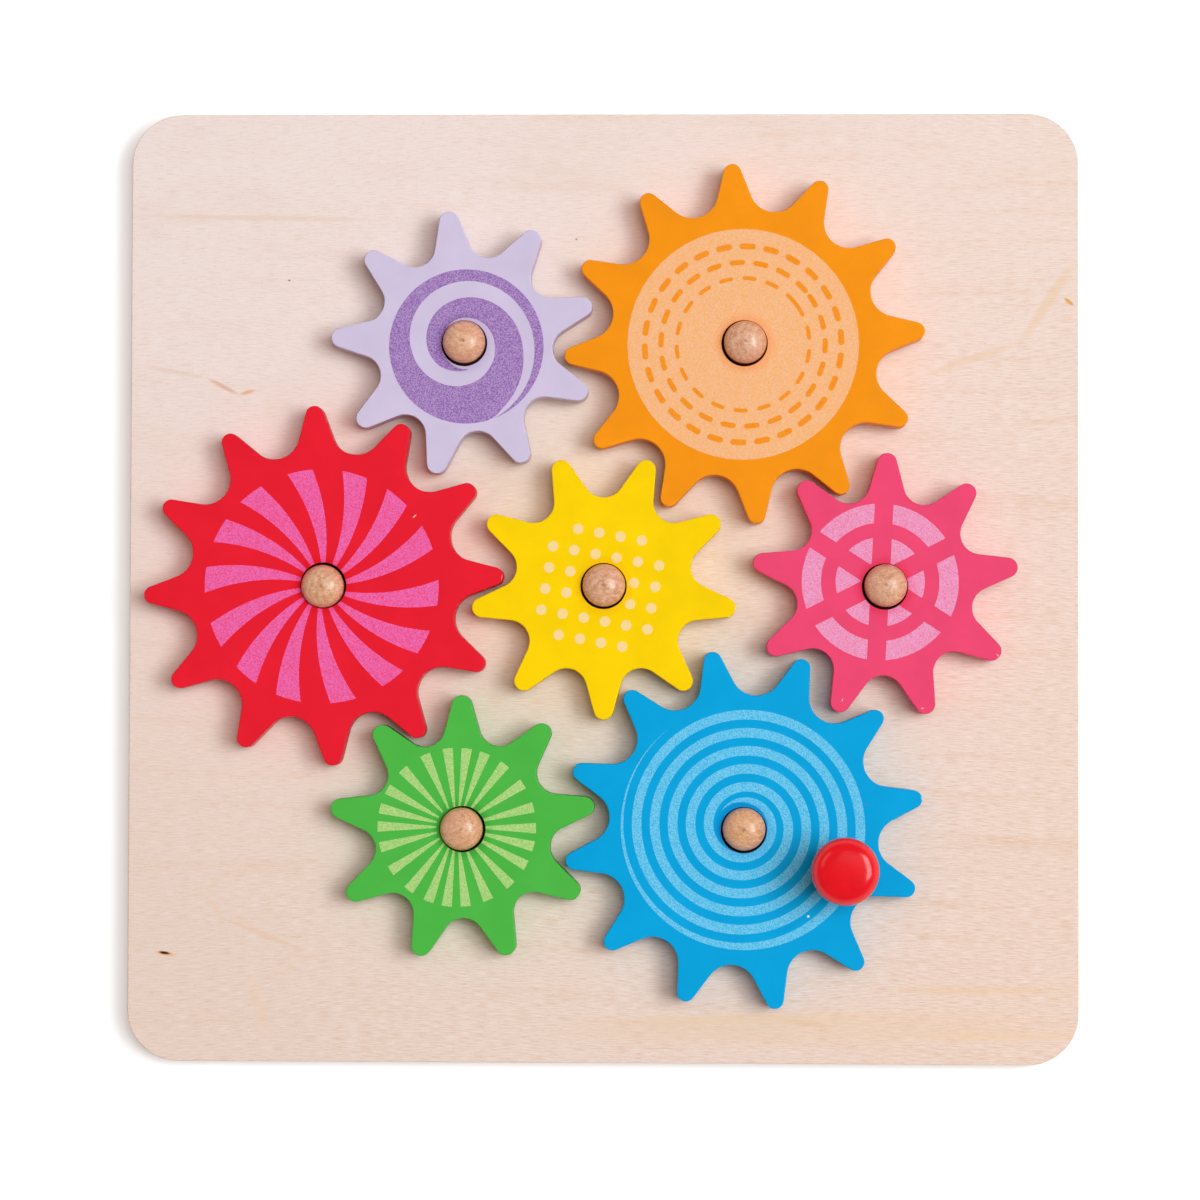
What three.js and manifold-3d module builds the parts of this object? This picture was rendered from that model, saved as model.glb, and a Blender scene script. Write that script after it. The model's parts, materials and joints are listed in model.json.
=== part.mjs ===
// Wooden crank gear toy: seven painted cogs mesh on a square plywood board,
// and a red knob on the blue cog turns them all.
// Millimetres, +Z up. The origin is at the middle of the board's underside,
// +X runs to the right and +Y to the top of the board as a child sees it.

import * as THREE from 'three';
import { mergeVertices } from 'three/addons/utils/BufferGeometryUtils.js';
import Module from 'manifold-3d';

const wasm = await Module();
wasm.setup();

// Gear train: every cog sits one centre distance from its neighbours
const centreDistance = 88;
const largeTeeth = 12;
const smallTeeth = 9;
const trainOffset = 0.6; // the whole train sits this far right of the board's middle
const cogThickness = 9;
const cogEase = 0.4; // rounded arris round the teeth

// Backboard
const boardSide = 300;
const boardThickness = 9;
const boardCorner = 16;
const boardEase = 0.4;

// Axle pegs and the spacers that lift the cogs off the board
const shankDiameter = 8;
const headDiameter = 13.4;
const headProud = 5; // dome above the cog's face
const recessFloor = 4; // wood left under the peg's head
const pegEase = 0.5;
const spacerDiameter = 20;
const spacerThickness = 1.5;

// Crank knob, and the screw that it turns on
const crankRadius = 33.3; // from the blue cog's axle to the knob's axis
const crankAngle = -21.1; // degrees from +X
const knobDiameter = 21;
const knobHeight = 22;
const knobFootDiameter = 14;
const knobNeckDiameter = 11.6;
const screwDiameter = 4.5;
const screwHeadDiameter = 9;
const screwHeadThickness = 2.6;
const screwPointLength = 3;
const screwGrip = 13; // length of screw inside the knob
const pilotSpare = 1.2; // empty hole past the screw's point
const screwHeadCover = 0.8; // from the screw's head to the cog's underside
const washerDiameter = 13;
const washerThickness = 0.8;

// Clearances
const runningGap = 0.3; // between faces that slide or are glued
const headClearance = 0.5; // round a peg's head in its recess
const boreClearance = 0.4; // round a shank in a turning cog
const glueGap = 0.3; // round a shank in the board
const overrun = 1; // how far a cutter passes its face

// Tooth form, in shares of the module, which is a pitch diameter over its teeth
const module = (2 * centreDistance) / (largeTeeth + smallTeeth);
const toothShares = {
  [largeTeeth]: { addendum: 0.753, dedendum: 0.965, tip: 0.334, valley: 0.955 },
  [smallTeeth]: { addendum: 0.499, dedendum: 1.177, tip: 0.37, valley: 0.776 },
};

// Profile shares
const domeShare = 0.44; // of a peg head's height
const neckHeightShare = 0.36; // of the knob's height
const headMiddleShare = 0.755; // height of the knob's widest ring
const pegRoundnessShare = 1; // a quarter ellipse
const knobRoundnessShare = 0.6; // flatter on top and fuller at the shoulder

// Facets
const tipSteps = 4;
const valleySteps = 6;
const cornerSteps = 8;
const domeSteps = 4;
const knobSteps = 6;
const pegSides = 20;
const knobSides = 24;
const screwSides = 16;

// Six cogs stand in a hexagon, in this order from +X round the yellow one
const hexagon = ['pink', 'orange', 'lilac', 'red', 'green', 'blue'];

// Each cog's teeth, and the angle of one of them at rest
const cogs = [
  { name: 'blue', teeth: largeTeeth, toothAngle: 10.5, colour: 0x0aa0de },
  { name: 'red', teeth: largeTeeth, toothAngle: 3.26, colour: 0xe81e2d },
  { name: 'orange', teeth: largeTeeth, toothAngle: 4.15, colour: 0xf7941e },
  { name: 'lilac', teeth: smallTeeth, toothAngle: 17.3, colour: 0xd0c5e2 },
  { name: 'yellow', teeth: smallTeeth, toothAngle: 30.1, colour: 0xfed60a },
  { name: 'pink', teeth: smallTeeth, toothAngle: 9, colour: 0xf04874 },
  { name: 'green', teeth: smallTeeth, toothAngle: 10.66, colour: 0x4eb848 },
];

// Levels, from the table upwards
const boardTop = boardThickness;
const spacerTop = boardTop + spacerThickness;
const cogBottom = spacerTop + runningGap;
const cogTop = cogBottom + cogThickness;
const recessLevel = cogBottom + recessFloor;
const headBottom = recessLevel + runningGap;
const headTop = cogTop + headProud;
const washerTop = cogTop + washerThickness;
const knobBottom = washerTop + runningGap;
const knobTop = knobBottom + knobHeight;

// Sizes that follow from those above
const boreDiameter = shankDiameter + 2 * boreClearance;
const recessDiameter = headDiameter + 2 * headClearance;
const screwHoleDiameter = screwDiameter + 2 * boreClearance;
const screwRecessDiameter = screwHeadDiameter + 2 * boreClearance;
const screwHeadLevel = cogBottom + screwHeadCover;

// Materials
const paint = (colour) => new THREE.MeshStandardMaterial({ color: colour, roughness: 0.38 });
const plywood = new THREE.MeshStandardMaterial({ color: 0xecd8c6, roughness: 0.6 });
const beech = new THREE.MeshStandardMaterial({ color: 0xc99a6e, roughness: 0.4 });
const hardboard = new THREE.MeshStandardMaterial({ color: 0x6b4a35, roughness: 0.8 });
const steel = new THREE.MeshStandardMaterial({ color: 0xb9bcc0, roughness: 0.35, metalness: 1 });
const gloss = new THREE.MeshStandardMaterial({ color: 0xeb1c24, roughness: 0.12 });

// Closed geometry to solid, with the flat triangles at poles and seams left out
function toSolid(geometry) {
  const bare = geometry.clone();
  bare.deleteAttribute('normal');
  bare.deleteAttribute('uv');
  const merged = mergeVertices(bare);
  const index = merged.index.array;
  const corners = [];
  for (let i = 0; i < index.length; i += 3) {
    const [a, b, c] = [index[i], index[i + 1], index[i + 2]];
    if (a !== b && b !== c && c !== a) corners.push(a, b, c);
  }
  return new wasm.Manifold(new wasm.Mesh({
    numProp: 3,
    vertProperties: new Float32Array(merged.attributes.position.array),
    triVerts: new Uint32Array(corners),
  }));
}

function toGeometry(solid) {
  const mesh = solid.getMesh();
  const geometry = new THREE.BufferGeometry();
  geometry.setAttribute('position', new THREE.BufferAttribute(mesh.vertProperties, 3));
  geometry.setIndex(new THREE.BufferAttribute(mesh.triVerts, 1));
  geometry.computeVertexNormals();
  return geometry;
}

// A profile of [radius, height] pairs turned about the Z axis
function turned(profile, sides) {
  const points = profile.map(([radius, height]) => new THREE.Vector2(radius, height));
  return new THREE.LatheGeometry(points, sides).rotateX(Math.PI / 2);
}

// Points along an arc, its two ends included
function arcPoints(x, y, radius, from, to, steps) {
  return Array.from({ length: steps + 1 }, (_, i) => {
    const angle = from + ((to - from) * i) / steps;
    return new THREE.Vector2(x + radius * Math.cos(angle), y + radius * Math.sin(angle));
  });
}

// Cap from its widest ring up to the axis, a quarter ellipse at a roundness of 1
function domePoints(radius, springLevel, topLevel, steps, roundness) {
  return Array.from({ length: steps + 1 }, (_, i) => {
    const angle = ((Math.PI / 2) * i) / steps;
    const rim = i === steps ? 0 : radius * Math.cos(angle) ** roundness;
    return [rim, springLevel + (topLevel - springLevel) * Math.sin(angle) ** roundness];
  });
}

// A flat outline raised from Z = 0, with its outer arrises eased
function easedPlate(outline, thickness, ease) {
  return new THREE.ExtrudeGeometry(new THREE.Shape(outline), {
    depth: thickness - 2 * ease,
    bevelThickness: ease,
    bevelSize: ease,
    bevelOffset: -ease,
    bevelSegments: 1,
  }).translate(0, 0, ease);
}

function roundedSquare(side, corner) {
  const inner = side / 2 - corner;
  const quarters = [[1, 1], [-1, 1], [-1, -1], [1, -1]];
  return quarters.flatMap(([signX, signY], quarter) => {
    const start = (Math.PI / 2) * quarter;
    return arcPoints(signX * inner, signY * inner, corner, start, start + Math.PI / 2, cornerSteps);
  });
}

// Round-tipped teeth with straight flanks and round valleys. The flank is the
// line that touches the tip's circle on one side and the valley's on the other.
function cogOutline(teeth) {
  const shares = toothShares[teeth];
  const pitchRadius = (module * teeth) / 2;
  const tipArc = module * shares.tip;
  const valleyArc = module * shares.valley;
  const tipMiddle = pitchRadius + module * shares.addendum - tipArc;
  const valleyMiddle = pitchRadius - module * shares.dedendum + valleyArc;
  const halfPitch = Math.PI / teeth;
  const across = valleyMiddle * Math.sin(halfPitch);
  const along = valleyMiddle * Math.cos(halfPitch) - tipMiddle;
  const reach = Math.hypot(along, across);
  const flank = Math.atan2(across, along) - Math.acos((tipArc + valleyArc) / reach);
  const outline = [];
  for (let tooth = 0; tooth < teeth; tooth += 1) {
    const axis = 2 * halfPitch * tooth;
    const gap = axis + halfPitch;
    const [tipX, tipY] = [tipMiddle * Math.cos(axis), tipMiddle * Math.sin(axis)];
    const [gapX, gapY] = [valleyMiddle * Math.cos(gap), valleyMiddle * Math.sin(gap)];
    const fall = axis + flank + Math.PI;
    const rise = 2 * (gap + Math.PI) - fall;
    outline.push(...arcPoints(tipX, tipY, tipArc, axis - flank, axis + flank, tipSteps));
    outline.push(...arcPoints(gapX, gapY, valleyArc, fall, rise, valleySteps));
  }
  return outline;
}

// Stepped hole: a bore for the shank, and a recess that takes the peg's head
function axleCutter() {
  const [bore, recess] = [boreDiameter / 2, recessDiameter / 2];
  const lip = cogThickness - cogEase / 2;
  return toSolid(turned([
    [0, -overrun],
    [bore, -overrun],
    [bore, recessFloor],
    [recess, recessFloor],
    [recess, lip],
    [recess + cogEase / 2, cogThickness],
    [recess + cogEase / 2, cogThickness + overrun],
    [0, cogThickness + overrun],
  ], pegSides));
}

// Clearance hole for the knob's screw, with a recess below for its head
function screwCutter() {
  const [hole, recess] = [screwHoleDiameter / 2, screwRecessDiameter / 2];
  const seat = screwHeadCover + screwHeadThickness + runningGap;
  return toSolid(turned([
    [0, -overrun],
    [recess, -overrun],
    [recess, seat],
    [hole, seat],
    [hole, cogThickness + overrun],
    [0, cogThickness + overrun],
  ], screwSides));
}

function named(name, geometry, material) {
  const mesh = new THREE.Mesh(geometry, material);
  mesh.name = name;
  return mesh;
}

function axlePlace(name) {
  const station = hexagon.indexOf(name);
  const radius = station < 0 ? 0 : centreDistance;
  const angle = (2 * Math.PI * station) / hexagon.length;
  return new THREE.Vector3(trainOffset + radius * Math.cos(angle), radius * Math.sin(angle), 0);
}

function crankPlace(angle) {
  return new THREE.Vector3(crankRadius * Math.cos(angle), crankRadius * Math.sin(angle), 0);
}

function backboard() {
  const plate = toSolid(easedPlate(roundedSquare(boardSide, boardCorner), boardThickness, boardEase));
  const radius = shankDiameter / 2 + glueGap;
  const hole = turned([
    [0, -overrun],
    [radius, -overrun],
    [radius, boardThickness + overrun],
    [0, boardThickness + overrun],
  ], pegSides);
  const board = cogs.reduce((solid, cog) => {
    const { x, y } = axlePlace(cog.name);
    return solid.subtract(toSolid(hole.clone().translate(x, y, 0)));
  }, plate);
  return named('backboard', toGeometry(board), plywood);
}

// A cog lies flat on Z = 0 with one tooth along +X. The crank cog is bored for the
// screw where the knob stands once the cog is turned to its rest angle.
function cogBody(cog) {
  let solid = toSolid(easedPlate(cogOutline(cog.teeth), cogThickness, cogEase));
  solid = solid.subtract(axleCutter());
  if (cog.name === 'blue') {
    const place = crankPlace(THREE.MathUtils.degToRad(crankAngle - cog.toothAngle));
    solid = solid.subtract(screwCutter().translate([place.x, place.y, 0]));
  }
  return named(`${cog.name}_cog`, toGeometry(solid), paint(cog.colour));
}

function axlePeg(name) {
  const [shank, head] = [shankDiameter / 2, headDiameter / 2];
  const spring = headTop - (headTop - headBottom) * domeShare;
  const profile = [
    [0, 0],
    [shank - pegEase, 0],
    [shank, pegEase],
    [shank, headBottom],
    [head - pegEase, headBottom],
    [head, headBottom + pegEase],
    ...domePoints(head, spring, headTop, domeSteps, pegRoundnessShare),
  ];
  return named(`${name}_axle_peg`, turned(profile, pegSides), beech);
}

function spacer(name) {
  const [bore, rim] = [boreDiameter / 2, spacerDiameter / 2];
  const profile = [
    [bore, boardTop],
    [rim, boardTop],
    [rim, spacerTop],
    [bore, spacerTop],
    [bore, boardTop],
  ];
  return named(`${name}_spacer`, turned(profile, pegSides), hardboard);
}

// Turned knob: a foot, a waisted neck and a mushroom head, bored for the screw
function crankKnob() {
  const [foot, neck, head] = [knobFootDiameter / 2, knobNeckDiameter / 2, knobDiameter / 2];
  const pilot = screwDiameter / 2 + runningGap;
  const neckLevel = knobBottom + knobHeight * neckHeightShare;
  const middle = knobBottom + knobHeight * headMiddleShare;
  const underside = [];
  for (let i = 1; i < knobSteps; i += 1) {
    const angle = ((Math.PI / 2) * i) / knobSteps;
    underside.push([
      neck + (head - neck) * Math.sin(angle),
      middle - (middle - neckLevel) * Math.cos(angle),
    ]);
  }
  const profile = [
    [0, screwTip() + pilotSpare],
    [pilot, screwTip()],
    [pilot, knobBottom],
    [foot - pegEase, knobBottom],
    [foot, knobBottom + pegEase],
    [(foot + neck) / 2, (knobBottom + neckLevel) / 2],
    [neck, neckLevel],
    ...underside,
    ...domePoints(head, middle, knobTop, knobSteps, knobRoundnessShare),
  ];
  return named('crank_knob', turned(profile, knobSides), gloss);
}

function screwTip() {
  return knobBottom + screwGrip;
}

function knobScrew() {
  const [core, head] = [screwDiameter / 2, screwHeadDiameter / 2];
  const seat = screwHeadLevel + screwHeadThickness;
  const profile = [
    [0, screwHeadLevel],
    [head - pegEase, screwHeadLevel],
    [head, screwHeadLevel + pegEase],
    [head, seat],
    [core, seat],
    [core, screwTip() - screwPointLength],
    [0, screwTip()],
  ];
  return named('knob_screw', turned(profile, screwSides), steel);
}

function knobWasher() {
  const [bore, rim] = [screwHoleDiameter / 2, washerDiameter / 2];
  const profile = [
    [bore, cogTop],
    [rim, cogTop],
    [rim, washerTop],
    [bore, washerTop],
    [bore, cogTop],
  ];
  return named('knob_washer', turned(profile, screwSides), steel);
}

// The toy, put together from the board upwards
const toy = new THREE.Group();
toy.add(backboard());

for (const cog of cogs) {
  const axle = new THREE.Group();
  axle.position.copy(axlePlace(cog.name));
  const body = cogBody(cog);
  body.position.z = cogBottom;
  body.rotation.z = THREE.MathUtils.degToRad(cog.toothAngle);
  axle.add(body, axlePeg(cog.name), spacer(cog.name));
  if (cog.name === 'blue') {
    const crank = new THREE.Group();
    crank.position.copy(crankPlace(THREE.MathUtils.degToRad(crankAngle)));
    crank.add(crankKnob(), knobScrew(), knobWasher());
    axle.add(crank);
  }
  toy.add(axle);
}

export default toy;
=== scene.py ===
# Wooden crank gear toy: the finished surfaces of every piece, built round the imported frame.
import json
import math
import random

import bmesh
import bpy
from mathutils import Matrix, Vector


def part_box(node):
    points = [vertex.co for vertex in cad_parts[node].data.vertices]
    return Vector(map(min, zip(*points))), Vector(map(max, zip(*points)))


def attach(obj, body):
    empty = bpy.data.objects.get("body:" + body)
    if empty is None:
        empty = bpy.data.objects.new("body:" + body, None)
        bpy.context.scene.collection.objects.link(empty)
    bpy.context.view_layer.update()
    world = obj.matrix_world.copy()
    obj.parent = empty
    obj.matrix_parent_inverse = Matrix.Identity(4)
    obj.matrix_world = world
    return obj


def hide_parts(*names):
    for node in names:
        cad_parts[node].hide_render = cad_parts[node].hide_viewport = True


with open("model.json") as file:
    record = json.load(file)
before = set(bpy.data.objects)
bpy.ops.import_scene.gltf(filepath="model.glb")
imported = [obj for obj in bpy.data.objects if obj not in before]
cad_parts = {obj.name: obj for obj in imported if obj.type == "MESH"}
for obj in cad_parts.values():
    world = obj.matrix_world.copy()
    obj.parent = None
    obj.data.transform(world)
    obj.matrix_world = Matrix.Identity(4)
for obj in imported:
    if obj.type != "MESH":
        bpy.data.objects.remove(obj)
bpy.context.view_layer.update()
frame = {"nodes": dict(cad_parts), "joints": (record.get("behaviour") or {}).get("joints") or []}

mm = 0.001  # sizes are in millimetres, and a finished mesh is scaled to metres


def nodeBox(node):
    return tuple(Vector(corner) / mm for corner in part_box(node))


axles = {joint["child"]: Vector(joint["pos_m"]) / mm for joint in frame["joints"]}
cogBottom, cogTop = (corner.z for corner in nodeBox("blue_cog"))
overrun = 1  # how far a cutter passes its face
uprightShare = 0.9999  # a face whose normal is nearer to upright than this stays flat


# Node helpers. A term is the output of a node, so that a rule reads as plain arithmetic.
def addNode(tree, kind, values=None, **settings):
    node = tree.nodes.new(kind)
    for key, value in settings.items():
        setattr(node, key, value)
    for key, value in (values or {}).items():
        if isinstance(value, Term):
            tree.links.new(value.socket, node.inputs[key])
        else:
            node.inputs[key].default_value = value
    return node


def term(tree, kind, values=None, output=0, **settings):
    return Term(tree, addNode(tree, kind, values, **settings).outputs[output])


def calc(tree, operation, *values):
    return term(tree, "ShaderNodeMath", dict(enumerate(values)), operation=operation)


def operator(operation, swapped=False):
    def apply(first, second):
        pair = (second, first) if swapped else (first, second)
        return calc(first.tree, operation, *pair)
    return apply


class Term:
    def __init__(self, tree, socket):
        self.tree = tree
        self.socket = socket

    __add__ = __radd__ = operator("ADD")
    __mul__ = __rmul__ = operator("MULTIPLY")
    __sub__ = operator("SUBTRACT")
    __rsub__ = operator("SUBTRACT", swapped=True)
    __truediv__ = operator("DIVIDE")
    __rtruediv__ = operator("DIVIDE", swapped=True)
    __mod__ = operator("MODULO")
    __gt__ = operator("GREATER_THAN")
    __lt__ = operator("LESS_THAN")

    def __abs__(self):
        return calc(self.tree, "ABSOLUTE", self)


def function(operation):
    def apply(value, *others):
        return calc(value.tree, operation, value, *others)
    return apply


sine, cosine, arcsine = function("SINE"), function("COSINE"), function("ARCSINE")
root, radians = function("SQRT"), function("RADIANS")
floor, rounded = function("FLOOR"), function("ROUND")
least, greatest = function("MINIMUM"), function("MAXIMUM")


def combine(tree, x=0.0, y=0.0, z=0.0):
    return term(tree, "ShaderNodeCombineXYZ", {0: x, 1: y, 2: z})


def parts(vector):
    node = addNode(vector.tree, "ShaderNodeSeparateXYZ", {0: vector})
    return [Term(vector.tree, socket) for socket in node.outputs]


def choose(condition, whenTrue, whenFalse):
    values = {"Switch": condition, "True": whenTrue, "False": whenFalse}
    return term(condition.tree, "GeometryNodeSwitch", values, input_type="FLOAT")


# Geometry Nodes: a tree has named inputs, and ends in Realize Instances and Set Material
def startTree(name, counts, sizes):
    tree = bpy.data.node_groups.new(name, "GeometryNodeTree")
    addSocket = tree.interface.new_socket
    addSocket("mesh", in_out="INPUT", socket_type="NodeSocketGeometry")
    for label in counts:
        addSocket(label, in_out="INPUT", socket_type="NodeSocketInt")
    for label in sizes:
        addSocket(label, in_out="INPUT", socket_type="NodeSocketFloat")
    addSocket("finish", in_out="INPUT", socket_type="NodeSocketMaterial")
    addSocket("mesh", in_out="OUTPUT", socket_type="NodeSocketGeometry")
    outputs = tree.nodes.new("NodeGroupInput").outputs
    return tree, {label: Term(tree, outputs[label]) for label in (*counts, *sizes, "finish")}


def endTree(tree, given, mesh):
    whole = term(tree, "GeometryNodeRealizeInstances", {"Geometry": mesh})
    painted = term(tree, "GeometryNodeSetMaterial", {"Geometry": whole, "Material": given["finish"]})
    tree.links.new(painted.socket, tree.nodes.new("NodeGroupOutput").inputs[0])
    return tree


def gridField(tree, columns, rows):
    # a grid, with the column and row of each of its points counted from zero
    grid = term(tree, "GeometryNodeMeshGrid", {
        "Size X": columns - 1, "Size Y": rows - 1, "Vertices X": columns, "Vertices Y": rows,
    })
    x, y = parts(term(tree, "GeometryNodeInputPosition"))[:2]
    return grid, rounded(x + (columns - 1) * 0.5), rounded(y + (rows - 1) * 0.5)


def pointIndex(tree):
    return term(tree, "GeometryNodeInputIndex")


def placed(mesh, x, y, z=0.0):
    place = combine(mesh.tree, x, y, z)
    return term(mesh.tree, "GeometryNodeSetPosition", {"Geometry": mesh, "Position": place})


def wound(mesh, radius, angle):
    return placed(mesh, radius * cosine(angle), radius * sine(angle))


def joined(*meshes):
    tree = meshes[0].tree
    node = addNode(tree, "GeometryNodeJoinGeometry")
    for mesh in reversed(meshes):
        tree.links.new(mesh.socket, node.inputs[0])
    whole = Term(tree, node.outputs[0])
    return term(tree, "GeometryNodeMergeByDistance", {"Geometry": whole, "Distance": mm})


def thickened(flat, thickness):
    tree = flat.tree
    raised = term(tree, "GeometryNodeExtrudeMesh", {
        "Mesh": flat, "Offset": combine(tree, z=thickness), "Offset Scale": 1.0, "Individual": False,
    })
    return joined(raised, term(tree, "GeometryNodeFlipFaces", {"Mesh": flat}))


def repeated(mesh, count, angle):
    # copies about the origin, each turned by the angle that its index gives
    tree = mesh.tree
    points = term(tree, "GeometryNodeMeshLine", {"Count": count, "Offset": (0.0, 0.0, 0.0)})
    copies = {"Points": points, "Instance": mesh, "Rotation": combine(tree, z=angle)}
    return term(tree, "GeometryNodeInstanceOnPoints", copies)


def runTree(tree, finish, sizes):
    # a plain mesh from a tree, with the sizes that its inputs are named for
    maker = newObject(tree.name, bpy.data.meshes.new(tree.name))
    modifier = maker.modifiers.new(tree.name, "NODES")
    modifier.node_group = tree
    for socket in tree.interface.items_tree:
        if socket.name != "mesh":
            value = finish if socket.name == "finish" else sizes[socket.name]
            isFloat = socket.socket_type == "NodeSocketFloat"
            modifier[socket.identifier] = float(value) if isFloat else value
    mesh = evaluatedMesh(maker)
    maker.modifiers.remove(modifier)
    bpy.data.objects.remove(maker)
    mesh.materials.clear()
    mesh.materials.append(finish)
    return mesh


def evaluatedMesh(maker):
    graph = bpy.context.evaluated_depsgraph_get()
    return bpy.data.meshes.new_from_object(maker.evaluated_get(graph))


# Mesh helpers
def newObject(name, data):
    made = bpy.data.objects.new(name, data)
    bpy.context.scene.collection.objects.link(made)
    return made


def arc(middle, radii, start, end, steps, roundness=1.0):
    # radius and height along an arc, angles in degrees; a roundness under 1 fills out the corner
    points = []
    for step in range(steps + 1):
        angle = math.radians(start + (end - start) * step / steps)
        shares = (math.cos(angle), math.sin(angle))
        reach, rise = (math.copysign(abs(share) ** roundness, share) for share in shares)
        points.append((middle[0] + radii[0] * reach, middle[1] + radii[1] * rise))
    return points


def revolve(profile, sides, centre, finish=None):
    # a profile of radius and height turned about an upright axis; it closes on itself or on the axis
    shape = bmesh.new()
    rings = []
    for radius, height in profile:
        ring = []
        for side in range(sides if radius > 0 else 1):
            angle = 2 * math.pi * side / sides
            x = centre[0] + radius * math.cos(angle)
            y = centre[1] + radius * math.sin(angle)
            ring.append(shape.verts.new((x, y, height)))
        rings.append(ring)
    pairs = list(zip(rings, rings[1:]))
    if profile[0][0] > 0:
        pairs.append((rings[-1], rings[0]))
    for lower, upper in pairs:
        for side in range(sides):
            corners = []
            for ring, step in ((lower, side), (lower, side + 1), (upper, side + 1), (upper, side)):
                point = ring[step % len(ring)]
                if point not in corners:
                    corners.append(point)
            if len(corners) > 2:
                shape.faces.new(corners)
    bmesh.ops.recalc_face_normals(shape, faces=shape.faces)
    return toMesh(shape, finish)


def drill(wall, sides, centre):
    # the cutter for a round hole, from the radius and height of its wall's corners
    return revolve([(0, wall[0][1]), *wall, (0, wall[-1][1])], sides, centre)


def toMesh(shape, finish=None):
    mesh = bpy.data.meshes.new("shape")
    shape.to_mesh(mesh)
    shape.free()
    if finish:
        mesh.materials.append(finish)
    return mesh


def booleanCut(mesh, cutter):
    body = newObject("body", mesh)
    tool = newObject("tool", cutter)
    modifier = body.modifiers.new("cut", "BOOLEAN")
    modifier.operation = "DIFFERENCE"
    modifier.solver = "EXACT"
    modifier.object = tool
    result = evaluatedMesh(body)
    for piece in (body, tool):
        bpy.data.objects.remove(piece)
    return result


def joinMeshes(meshes):
    shape = bmesh.new()
    for mesh in meshes:
        shape.from_mesh(mesh)
    return toMesh(shape, meshes[0].materials[0] if meshes[0].materials else None)


def moved(mesh, x, y, z=0.0):
    mesh.transform(Matrix.Translation((x, y, z)))
    return mesh


def smoothed(mesh, sharpDegrees=35):
    # doubles merged, faces outward, level faces flat and the rest smooth between sharp edges
    shape = bmesh.new()
    shape.from_mesh(mesh)
    bmesh.ops.remove_doubles(shape, verts=shape.verts, dist=mm / 2)
    bmesh.ops.recalc_face_normals(shape, faces=shape.faces)
    for face in shape.faces:
        face.smooth = abs(face.normal.z) < uprightShare
    for edge in shape.edges:
        edge.smooth = len(edge.link_faces) == 2 and edge.calc_face_angle() < math.radians(sharpDegrees)
    shape.to_mesh(mesh)
    shape.free()
    return mesh


def addPiece(name, mesh, body, slot, *nodes):
    mesh.transform(Matrix.Scale(mm, 4))
    mesh.name = name
    piece = newObject(name, mesh)
    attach(piece, body)
    if nodes:
        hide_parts(*nodes)


# Material helpers
evenSockets = {
    "roughness": "Roughness", "specular": "Specular IOR Level", "metallic": "Metallic",
    "coat": "Coat Weight", "coatRoughness": "Coat Roughness",
}


def startMaterial(name, plan):
    # what is the same all over the surface is set on the shader's own sockets
    material = bpy.data.materials.new(name)
    material.use_nodes = True
    shader = material.node_tree.nodes["Principled BSDF"]
    for key, socket in evenSockets.items():
        if key in plan:
            shader.inputs[socket].default_value = plan[key]
    return material, material.node_tree, shader


def dress(shader, colour, roughness=None):
    tree = colour.tree
    tree.links.new(colour.socket, shader.inputs["Base Color"])
    if roughness:
        tree.links.new(roughness.socket, shader.inputs["Roughness"])


def bumped(shader, height, depth, strength=1.0):
    values = {"Height": height, "Distance": depth * mm, "Strength": strength}
    normal = term(height.tree, "ShaderNodeBump", values)
    height.tree.links.new(normal.socket, shader.inputs["Normal"])


def mapped(point, scale, turn=0.0, place=(0.0, 0.0, 0.0), kind="POINT"):
    return term(point.tree, "ShaderNodeMapping", {
        "Vector": point, "Location": place, "Rotation": (0.0, 0.0, math.radians(turn)), "Scale": scale,
    }, vector_type=kind)


def localPoint(tree, axle=(0.0, 0.0)):
    # object coordinates in millimetres, counted from an axle
    where = term(tree, "ShaderNodeTexCoord", output="Object")
    return mapped(where, (1 / mm,) * 3, 0.0, (-axle[0], -axle[1], 0.0))


def noise(point, size, detail=3.0, roughness=0.5):
    # size is the width of the noise's features
    return term(point.tree, "ShaderNodeTexNoise", {
        "Vector": point, "Scale": 1 / size, "Detail": detail, "Roughness": roughness,
    })


def remap(value, low, high, toLow=0.0, toHigh=1.0, smooth=False):
    return term(value.tree, "ShaderNodeMapRange", {
        "Value": value, "From Min": low, "From Max": high, "To Min": toLow, "To Max": toHigh,
    }, interpolation_type="SMOOTHSTEP" if smooth else "LINEAR")


def mixed(tree, factor, first, second, blend="MIX"):
    values = {0: factor, 6: first, 7: second}
    return term(tree, "ShaderNodeMix", values, output=2, data_type="RGBA", blend_type=blend)


def tinted(colour, factor, tone, strength=1.0):
    return mixed(colour.tree, factor, colour, shade(tone, strength))


def length(vector):
    return term(vector.tree, "ShaderNodeVectorMath", {0: vector}, output="Value", operation="LENGTH")


def fromAxis(point):
    x, y = parts(point)[:2]
    return length(combine(point.tree, x, y))


def shade(colour, factor=1.0):
    # an sRGB colour of 0 to 255 as the linear colour that a shader takes
    linear = []
    for value in colour:
        share = value / 255
        linear.append((share / 12.92 if share <= 0.04045 else ((share + 0.055) / 1.055) ** 2.4) * factor)
    return (*linear, 1.0)


markPlan = {"depth": 3.0, "core": 0.4, "edge": 1.1}


def marked(point, colour, level, marks):
    # small ovals: x, y, length, width, turn in degrees, colour, and how strong each is
    plan = markPlan
    for x, y, long, wide, turn, tone, strength in marks:
        local = mapped(point, (long / 2, wide / 2, plan["depth"]), turn, (x, y, level), "TEXTURE")
        spot = remap(length(local), plan["core"], plan["edge"], strength, 0.0, smooth=True)
        colour = tinted(colour, spot, tone)
    return colour


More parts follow.
